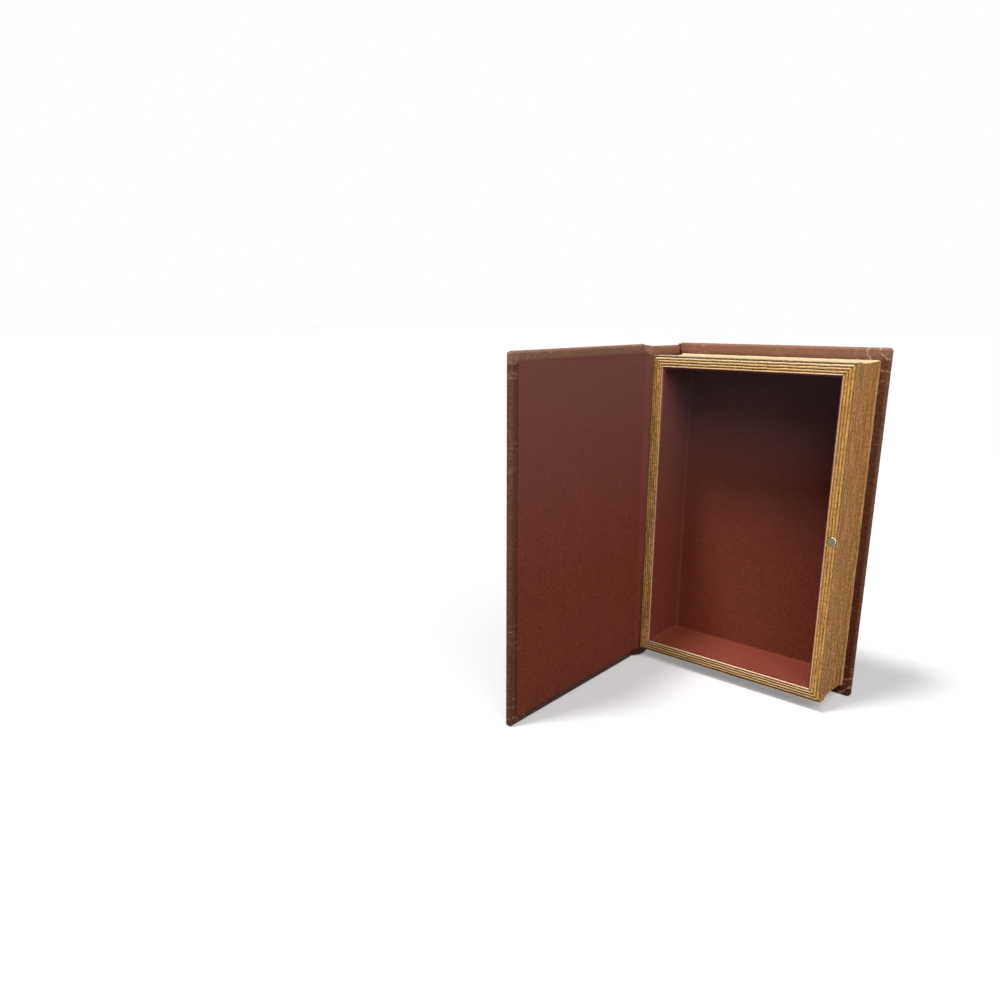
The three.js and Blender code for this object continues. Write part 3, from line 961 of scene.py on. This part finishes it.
def wrap_cover(name, sizes):
    """The leather of a cover: rounded at the fore-edge corners and along its edges, square where the
    joint leather runs on over its outer face, with mitred turn-ins and a hollow for the board."""
    size = COVER_SIZE
    piece = block(name, (0, 0, 0), size)
    with editing(piece):
        pick(piece, "EDGE", lambda mid, way: abs(way.y) > ALONG and mid.x > size.x - TINY)
        round_edges(sizes.corner_radius, segments=7)
        pick(piece, "EDGE", lambda mid, way: abs(way.y) < SQUARE
             and (mid.y < TINY or (mid.y > size.y - TINY and mid.x > TINY)))
        round_edges(sizes.edge_radius, segments=6)
        hollow_wrap(piece, size, sizes.turn_in, sizes.turn_in, sizes.leather)
        for up in (1, -1):
            mitre_seam(piece, up, sizes)
    mark_leather(piece, sizes, seamed=True)
    return smooth(piece)


def wrap_spine(name, sizes):
    """The leather of the spine: rounded at the head and the tail, square where the joints run on."""
    low, high = moved_box("spine_leather", SPINE_PLACE.inverted())
    piece = block(name, (0, 0, 0), high - low)
    with editing(piece):
        pick(piece, "EDGE", lambda mid, way: abs(way.x) > ALONG)
        round_edges(sizes.edge_radius, segments=6)
        hollow_wrap(piece, high - low, sizes.spine_turn_in, sizes.turn_in, sizes.leather)
    mark_leather(piece, sizes)
    return smooth(piece)


class BOOK_OT_covers(bpy.types.Operator):
    """Wrap the leather of the front and back covers"""
    bl_idname = "book.covers"
    bl_label = "Leather covers"

    def execute(self, context):
        sizes = context.scene.book_case
        back = wrap_cover("leather_back_cover", sizes)
        front = copy_of(back, "leather_front_cover")
        mark(front, "pressed", lambda co: 1 if co.y > COVER_SIZE.y - TINY else sizes.front_pressed)
        put(back, BACK_PLACE)
        put(front, FRONT_PLACE)
        dress(back, "leather", "case", "back_cover_leather")
        dress(front, "leather", "front_cover", "front_cover_leather")
        return {"FINISHED"}


class BOOK_OT_spine(bpy.types.Operator):
    """Wrap the leather of the spine"""
    bl_idname = "book.spine"
    bl_label = "Leather spine"

    def execute(self, context):
        piece = put(wrap_spine("leather_spine", context.scene.book_case), SPINE_PLACE)
        dress(piece, "leather", "case", "spine_leather")
        return {"FINISHED"}


# The leather joints. Their outlines are points in plan. A curve leaves its first point towards the second
# and comes to its last from the third.

def flat(point):
    return Vector((point[0], point[1], 0))


def strip_from(name, outline, low, high):
    """A strip of leather drawn in plan: its outline is drawn point by point, filled and drawn up."""
    bpy.ops.object.select_all(action="DESELECT")
    bpy.ops.mesh.primitive_plane_add(size=MM, location=(0, 0, 0))
    piece = named(bpy.context.object, name)
    with editing(piece):
        bpy.ops.mesh.select_all(action="SELECT")
        bpy.ops.mesh.merge(type="CENTER")
        bpy.ops.mesh.select_mode(type="VERT")
        bpy.ops.mesh.select_all(action="SELECT")
        shift((*outline[0].xy, low))
        for before, after in zip(outline, outline[1:]):
            extrude((*(after - before).xy, 0))
        bpy.ops.mesh.select_all(action="SELECT")
        bpy.ops.mesh.edge_face_add()
        extrude((0, 0, high - low))
        bpy.ops.mesh.select_all(action="SELECT")
        bpy.ops.mesh.normals_make_consistent(inside=False)
    return piece


def slope_ends(piece, corner, low, high, near, reach):
    """Lengthen a strip at both ends, most at a corner and down to nothing at a distance from it."""
    plans = {(round(vertex.co.x, 6), round(vertex.co.y, 6)) for vertex in piece.data.vertices}
    with editing(piece):
        for plan in plans:
            share = max(0, 1 - (flat(plan) - corner).length / near)
            offset = reach * share * share * (3 - 2 * share)
            for level, way in ((low, -1), (high, 1)):
                end = Vector((*plan, level))
                pick(piece, "VERT", lambda co: max(abs(axis) for axis in co - end) < TINY)
                shift((0, 0, offset * way))


def front_joint_outline(sizes):
    """The joint in plan. Its inner side leaves the box's front corner for the cover's edge, and its outer
    side comes back over a rounded shoulder, dips to the leather's own thickness and rises to the spine."""
    along = SWING.to_3x3() @ X
    inner = flat(FRONT_EDGE)
    outer = flat(SWING @ Vector((SHUT_LOW.x, SHUT_LOW.y, 0)))
    out = (outer - inner).normalized()
    spine = flat(SPINE_LOW)
    turn = sizes.shoulder
    leave = flat((BOX_LOW.x, BOX_LOW.y + turn))
    arrive = inner + sizes.attach * out
    shoulder_end = outer - turn * (along + out)
    dip = flat((BOX_LOW.x - sizes.strip, BOX_LOW.y + 2 * turn))
    rise = dip + 0.8 * turn * Y
    return [
        flat((BOX_LOW.x, SPINE_LOW.y)),
        *curve(leave, leave - 1.3 * turn * Y, arrive - 1.1 * turn * along, arrive, 14),
        *curve(outer, outer - 0.6 * turn * along, shoulder_end + 0.6 * turn * out, shoulder_end, 7),
        *curve(shoulder_end, shoulder_end - 1.6 * turn * out - 0.33 * turn * along,
               dip - 0.95 * turn * Y, dip, 12)[1:],
        *curve(rise, rise + 1.3 * turn * Y, spine - 1.4 * turn * Y, spine, 12),
    ]


def back_joint_outline(sizes):
    """The joint in plan. Its inner side falls back from the spine into the hinge groove, and its outer
    side runs over the back cover's edge onto its outer face."""
    turn = sizes.shoulder
    inner = flat((BOX_LOW.x, SPINE_HIGH.y))
    spine = flat((SPINE_LOW.x, SPINE_HIGH.y))
    arrive = flat((BACK_LOW.x, BACK_LOW.y + sizes.attach))
    outer = flat((BACK_LOW.x, BACK_HIGH.y))
    dip = flat((BOX_LOW.x - sizes.strip - 0.4 * turn, SPINE_HIGH.y + 2.2 * turn))
    crown = flat((BACK_LOW.x - sizes.strip, BACK_LOW.y + turn))
    return [
        inner,
        *curve(inner + turn * Y, inner + 3 * turn * Y, arrive - 3 * turn * Y, arrive, 12),
        *curve(outer, outer - 0.9 * turn * X, crown + 1.4 * turn * Y, crown, 10),
        *curve(crown, crown - turn * Y, dip + turn * Y, dip, 10)[1:],
        *curve(dip, dip - turn * Y, spine + 1.4 * turn * Y, spine, 10)[1:],
    ]


# Where the hinge paper starts on the liner, how far beyond it the paper still follows the cover, where it
# tucks in from the box's front corner, and the way it comes there
PAPER_LAP = 3 * MM
PAPER_LEAD = 2.4 * MM
PAPER_TUCK = Vector((-0.25, 1.1, 0)) * MM
PAPER_COMES = Vector((-1.1, -2.3, 0)) * MM
# Where the bending ends, from the front cover's inner edge
BEND_END = Vector((-0.4, 1.3, 0)) * MM


def hinge_paper_outline(low, sizes):
    """The liner's edge in plan, where it runs on from the cover over the joint and tucks in beside the
    box's front corner."""
    def on_cover(back, out):
        return flat(FRONT_PLACE @ Vector((low.x + back, low.y + out, 0)))

    tuck = flat(BOX_LOW) + PAPER_TUCK
    seen = [
        on_cover(PAPER_LAP, sizes.paper / 2),
        on_cover(PAPER_LAP / 2, TINY),
        *curve(on_cover(0, TINY), on_cover(-PAPER_LEAD, 0), tuck + PAPER_COMES, tuck, 14),
    ]
    behind = 0.85 * sizes.paper * Vector((-1, 0.35, 0))
    return seen + [point + behind for point in reversed(seen)]


def bend_at_hinge(piece, sizes):
    """Let a piece across the front joint bend with the cover."""
    start = flat((BOX_LOW.x - sizes.strip / 2, BOX_LOW.y + sizes.shoulder))
    end = flat(FRONT_EDGE) + BEND_END
    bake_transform(piece, "case", "front_cover", start=start, end=end)


class BOOK_OT_joints(bpy.types.Operator):
    """Lay the leather joints between the spine and the two covers, and the liner's edge over the front one"""
    bl_idname = "book.joints"
    bl_label = "Leather joints"

    def execute(self, context):
        sizes = context.scene.book_case
        low, high = SPINE_LOW.z + TINY, SPINE_HIGH.z - TINY
        reach = SPINE_LOW.z - BACK_LOW.z - sizes.strip_drop

        def leather_strip(name, outline, corner, weighted):
            piece = strip_from(name, outline, low, high)
            slope_ends(piece, flat(corner), low, high, 5 * sizes.attach, reach)
            with editing(piece):
                pick(piece, "EDGE", lambda mid, way: abs(way.z) < 0.8
                     and (mid.z < low + TINY or mid.z > high - TINY))
                round_edges(0.4 * sizes.strip)
            mark_leather(piece, sizes)
            return smooth(piece, weighted)

        back = leather_strip("leather_back_joint", back_joint_outline(sizes), BACK_LOW, True)
        dress(back, "leather", "case", "back_joint_leather")
        front = leather_strip("leather_front_joint", front_joint_outline(sizes), FRONT_EDGE, False)
        dress(front, "leather", None, "front_joint_leather")
        bend_at_hinge(front, sizes)
        liner_low, liner_high = moved_box("front_liner", FRONT_PLACE.inverted())
        ends = (liner_low.z, liner_high.z)
        paper = strip_from("flock_hinge_paper", hinge_paper_outline(liner_low, sizes), *ends)
        slope_ends(paper, flat(BOX_LOW), *ends, sizes.paper_slope, liner_low.z - BOX_LOW.z)
        smooth(paper, weighted=False)
        dress(paper, "flock", None, "front_joint_leather")
        bend_at_hinge(paper, sizes)
        return {"FINISHED"}


# The lining and the liner

COVE_TURNS = [QUARTER * step / 6 for step in range(7)]


def line_back(name, sizes):
    """The tray's back panel, with its edges coved up to meet the side panels."""
    low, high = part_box("back_lining")
    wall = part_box("spine_side_lining")[1].x
    far_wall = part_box("fore_edge_lining")[0].x
    floor_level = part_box("tail_lining")[1].z
    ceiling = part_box("head_lining")[0].z
    piece = block(name, (wall, low.y - sizes.cove, floor_level), (far_wall, high.y, ceiling))
    marks = [(sizes.cove * (1 - math.cos(turn)), sizes.cove * math.sin(turn)) for turn in COVE_TURNS]
    with editing(piece):
        pick(piece, "FACE", lambda mid, normal: normal.y < -ALONG)
        for before, after in zip(marks, marks[1:]):
            bpy.ops.mesh.inset(thickness=after[0] - before[0], depth=before[1] - after[1])
    return smooth(piece)


def line_end(name, node, up, sizes):
    """A head or tail panel, coved up to the side panels at both ends and rounded at the front."""
    low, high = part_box(node)
    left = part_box("spine_side_lining")[1].x
    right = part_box("fore_edge_lining")[0].x
    level = high.z if up > 0 else low.z
    piece = block(name, low, high)
    distances = [sizes.cove * (1 - math.cos(turn)) for turn in COVE_TURNS]
    with editing(piece):
        for across in distances:
            cut((left + across, 0, 0), X)
            cut((right - across, 0, 0), X)
        for across in distances:
            rise = sizes.cove - math.sqrt(sizes.cove ** 2 - (sizes.cove - across) ** 2)
            pick(piece, "VERT", lambda co: abs(co.z - level) < TINY
                 and (abs(co.x - left - across) < TINY or abs(co.x - right + across) < TINY))
            shift((0, 0, rise * up))
        pick(piece, "EDGE", lambda mid, way: mid.y < low.y + TINY and (mid.z - level) * up > -TINY
             and left < mid.x < right)
        round_edges(sizes.soft_edge)
    return smooth(piece)


def line_side(name, node, facing, sizes):
    """A side panel, rounded along its front edge."""
    low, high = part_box(node)
    inner = high.x if facing > 0 else low.x
    piece = block(name, low, high)
    with editing(piece):
        pick(piece, "EDGE", lambda mid, way: abs(way.z) > ALONG and mid.y < low.y + TINY
             and abs(mid.x - inner) < TINY)
        round_edges(sizes.soft_edge)
    return smooth(piece)


class BOOK_OT_lining(bpy.types.Operator):
    """Line the tray with flocked paper"""
    bl_idname = "book.lining"
    bl_label = "Tray lining"

    def execute(self, context):
        sizes = context.scene.book_tray
        dress(line_back("flock_back", sizes), "flock", "case", "back_lining")
        for line, name, node, way in ((line_end, "flock_head", "head_lining", -1),
                                      (line_end, "flock_tail", "tail_lining", 1),
                                      (line_side, "flock_spine_side", "spine_side_lining", 1),
                                      (line_side, "flock_fore_edge", "fore_edge_lining", -1)):
            dress(line(name, node, way, sizes), "flock", "case", node)
        return {"FINISHED"}


class BOOK_OT_liner(bpy.types.Operator):
    """Lay the liner on the front cover, with the edge of the turn-ins showing through it"""
    bl_idname = "book.liner"
    bl_label = "Front liner"

    def execute(self, context):
        sizes = context.scene.book_case
        low, high = moved_box("front_liner", FRONT_PLACE.inverted())
        piece = block("flock_front_liner", low, high)
        half = sizes.ridge_width / 2
        side = COVER_SIZE.x - sizes.turn_in
        tail, head = sizes.turn_in, COVER_SIZE.z - sizes.turn_in

        def on_ridge(co):
            upright = abs(co.x - side) < TINY and tail - TINY < co.z < head + TINY
            level = min(abs(co.z - tail), abs(co.z - head)) < TINY and co.x < side + TINY
            return co.y < low.y + TINY and (upright or level)

        with editing(piece):
            for offset in (-half, 0, half):
                cut((side + offset, 0, 0), X)
            for end in (tail, head):
                for offset in (-half, 0, half):
                    cut((0, 0, end + offset), Z)
            pick(piece, "VERT", on_ridge)
            shift((0, -sizes.ridge, 0))
            pick(piece, "EDGE", lambda mid, way: mid.y < low.y + TINY and abs(way.y) < SQUARE and (
                mid.x < low.x + TINY or mid.x > high.x - TINY
                or mid.z < low.z + TINY or mid.z > high.z - TINY))
            round_edges(0.5 * (high.y - low.y))
        dress(smooth(put(piece, FRONT_PLACE)), "flock", "front_cover", "front_liner")
        return {"FINISHED"}


# The magnet and what is hidden

class BOOK_OT_magnet(bpy.types.Operator):
    """Press the disc magnet with a rounded rim and a shallow dish"""
    bl_idname = "book.magnet"
    bl_label = "Catch magnet"

    def execute(self, context):
        sizes = context.scene.book_tray
        low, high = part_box("catch_magnet")
        middle = (low + high) / 2
        radius = (high.x - low.x) / 2
        piece = disc(radius, high.y - low.y, middle)
        piece.name = "nickel_magnet"
        apply_transform()

        def off_axis(place):
            return (place - middle).xz.length

        with editing(piece):
            pick(piece, "EDGE", lambda mid, way: abs(way.y) < SQUARE)
            round_edges(sizes.magnet_rim, segments=4)
            pick(piece, "FACE", lambda mid, normal: normal.y < -ALONG and off_axis(mid) < radius / 2)
            bpy.ops.mesh.inset(thickness=0.3 * radius, depth=0)
            bpy.ops.mesh.inset(thickness=0.15 * radius, depth=-sizes.magnet_dish)
        # Painted highlight: the rim is marked to be lightened
        mark(piece, "rim", lambda co: off_axis(co) > radius - sizes.magnet_rim / 2)
        dress(smooth(piece), "nickel", "case", "catch_magnet")
        return {"FINISHED"}


class BOOK_OT_inner_boards(bpy.types.Operator):
    """Finish the boards, cards and keeper inside the covers"""
    bl_idname = "book.inner_boards"
    bl_label = "Boards, cards and keeper"

    def execute(self, context):
        hidden = {
            "greyboard": ("front_board", "back_board", "spine_board"),
            "card": ("front_infill_card", "back_infill_card", "spine_infill_card"),
            "nickel": ("keeper_disc",),
        }
        for slot, nodes in hidden.items():
            for name in nodes:
                for held in frame["nodes"][name].material_slots:
                    held.material = finish_named(slot)
        return {"FINISHED"}


# The stage

def lamp(name, kind, place, aim, **settings):
    """A light at a place, turned to its aim and hidden from the camera."""
    light = bpy.data.lights.new(name, kind)
    for key, value in settings.items():
        setattr(light, key, value)
    holder = bpy.data.objects.new(name, light)
    holder.location = place
    holder.rotation_euler = (Vector(aim) - Vector(place)).to_track_quat("-Z", "Y").to_euler()
    holder.visible_camera = False
    bpy.context.collection.objects.link(holder)


def sun(name, heading, elevation, width, strength):
    """A wide, even light from a heading and an elevation, which are in degrees like its width."""
    heading = math.radians(heading)
    way = Vector((math.sin(heading), -math.cos(heading), math.tan(math.radians(elevation))))
    lamp(name, "SUN", 2 * way.normalized(), (0, 0, 0), energy=strength, angle=math.radians(width))


def room_light(strength):
    """A dim room with a white backdrop all round the horizon, which the camera and reflections see."""
    world = bpy.data.worlds.new("Pale room")
    bpy.context.scene.world = world
    world.use_nodes = True
    tree = world.node_tree
    tree.nodes.clear()
    height = split(tree, place_in(tree, "Generated"))[2]
    backdrop = s_ramp(tree, height, 0.35, 0.6, low=1, high=0)
    shown = times(tree, seen_or_mirrored(tree), backdrop)
    room = add(tree, "ShaderNodeBackground", {"Color": solid(WHITE), "Strength": strength}).outputs[0]
    white = add(tree, "ShaderNodeBackground", {"Color": solid(WHITE), "Strength": 1}).outputs[0]
    both = add(tree, "ShaderNodeMixShader", {0: shown, 1: room, 2: white})
    add(tree, "ShaderNodeOutputWorld", {"Surface": both.outputs[0]})


class BOOK_OT_stage(bpy.types.Operator):
    """Set the floor, the lights and the camera"""
    bl_idname = "book.stage"
    bl_label = "Stage"

    def execute(self, context):
        stage = context.scene.book_stage
        bpy.ops.object.select_all(action="DESELECT")
        bpy.ops.mesh.primitive_plane_add(size=30, location=(0, 0, 0))
        floor = context.object
        floor.name = "studio_floor"
        floor.data.materials.append(finish_named("floor"))
        floor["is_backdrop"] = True
        sun("Left light", heading=-29, elevation=68, width=12, strength=stage.left_strength)
        sun("Right light", heading=42, elevation=53, width=40, strength=stage.right_strength)
        lamp("Fill softbox", "AREA", place=(1.0, -0.35, 0.65), aim=(0, -0.06, 0.12),
             shape="RECTANGLE", size=0.9, size_y=0.7, energy=stage.fill_power)
        room_light(stage.ambient)
        camera = bpy.data.objects.new("Camera", bpy.data.cameras.new("Camera"))
        context.collection.objects.link(camera)
        camera.location = (stage.camera_x, stage.camera_y, stage.camera_z)
        camera.rotation_euler = (QUARTER - stage.camera_pitch, 0, stage.camera_heading)
        camera.data.lens = stage.camera_lens
        camera.data.shift_y = stage.camera_shift
        camera.data.clip_start = 10 * MM
        context.scene.camera = camera
        context.scene.view_settings.view_transform = "Standard"
        return {"FINISHED"}


class BOOK_PT_panel(bpy.types.Panel):
    """The steps that dress the book safe"""
    bl_idname = "BOOK_PT_panel"
    bl_label = "Book Safe"
    bl_space_type = "VIEW_3D"
    bl_region_type = "UI"
    bl_category = "Book Safe"

    def draw(self, context):
        for step in STEPS:
            self.layout.operator(step.bl_idname)
        for name, group in GROUPS.items():
            self.layout.label(text=group.__doc__)
            settings = getattr(context.scene, name)
            for setting in group.__annotations__:
                self.layout.prop(settings, setting)


STEPS = (
    BOOK_OT_stage,
    BOOK_OT_mouldings,
    BOOK_OT_covers,
    BOOK_OT_spine,
    BOOK_OT_joints,
    BOOK_OT_lining,
    BOOK_OT_liner,
    BOOK_OT_magnet,
    BOOK_OT_inner_boards,
)
GROUPS = {
    "book_case": BookCaseSizes,
    "book_mouldings": BookMouldingSizes,
    "book_tray": BookTraySizes,
    "book_colours": BookColours,
    "book_stage": BookStageSettings,
}


def register():
    for each in (*GROUPS.values(), *STEPS, BOOK_PT_panel):
        bpy.utils.register_class(each)
    for name, group in GROUPS.items():
        setattr(bpy.types.Scene, name, bpy.props.PointerProperty(type=group))


def unregister():
    for name in GROUPS:
        delattr(bpy.types.Scene, name)
    for each in reversed((*GROUPS.values(), *STEPS, BOOK_PT_panel)):
        bpy.utils.unregister_class(each)


def corners():
    return [list(corner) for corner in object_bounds()]


def main():
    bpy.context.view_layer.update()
    register()
    bpy.ops.book.stage()
    bpy.ops.book.mouldings()
    bpy.ops.book.covers()
    bpy.ops.book.spine()
    bpy.ops.book.joints()
    bpy.ops.book.lining()
    bpy.ops.book.liner()
    bpy.ops.book.magnet()
    bpy.ops.book.inner_boards()


if __name__ == "__main__":
    main()
